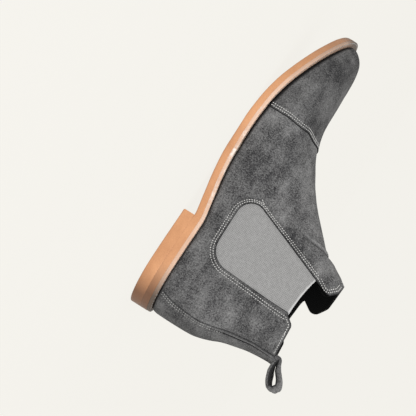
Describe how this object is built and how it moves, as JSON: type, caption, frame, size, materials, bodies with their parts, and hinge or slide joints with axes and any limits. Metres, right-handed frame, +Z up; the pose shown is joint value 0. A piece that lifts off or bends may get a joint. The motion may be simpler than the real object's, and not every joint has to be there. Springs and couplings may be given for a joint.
{
  "type": "chelsea boot",
  "caption": "Ankle-high suede chelsea boot for the left foot, with a toe cap, elastic side gores, a pull loop at the back and a low-heeled tan leather sole.",
  "frame": {"origin": "on the ground, under the middle of the outsole's length and width, with the boot standing on its sole and heel", "axes": "-Y to the toe, +Y to the heel, +X to the outer flank of the left foot's boot, +Z up"},
  "size_m": [0.1049, 0.3099, 0.1414],
  "materials": {
    "suede_grey": "brushed suede, matt",
    "elastic_grey": "ribbed elastic webbing",
    "lining_black": "black twill",
    "stiffener": "stiffened canvas",
    "sole_tan": "burnished edge, satin",
    "welt_pale": "natural, satin",
    "insole_board": "fibre board",
    "cork": "granulated cork",
    "spring_steel": "bright",
    "footbed_black": "matt sock lining over foam"
  },
  "bodies": {
    "boot": {"toe_cap": "suede_grey", "vamp": "suede_grey", "quarter_lateral": "suede_grey", "quarter_medial": "suede_grey", "back_strip": "suede_grey", "gore_lateral": "elastic_grey", "gore_medial": "elastic_grey", "toe_puff": "stiffener", "vamp_interlining": "stiffener", "heel_counter": "stiffener", "quarter_interlining": "stiffener", "loop_anchor": "suede_grey", "vamp_lining": "lining_black", "quarter_lining": "lining_black", "outsole": "sole_tan", "welt": "welt_pale", "cork_filler": "cork", "shank": "spring_steel", "insole_board": "insole_board", "footbed": "footbed_black", "heel_block": "sole_tan", "heel_nail_1": "spring_steel", "heel_nail_2": "spring_steel", "heel_nail_3": "spring_steel", "heel_nail_4": "spring_steel", "heel_nail_5": "spring_steel"},
    "loop": {"pull_loop": "suede_grey"}
  },
  "joints": [
    {"name": "pull_loop_fold", "type": "hinge", "parent": "boot", "child": "loop", "pos_m": [0, 0.1335, 0.1262], "axis": [1, 0, 0], "range_deg": [-30, 90], "stiffness_Nm_per_rad": 0.005}
  ]
}
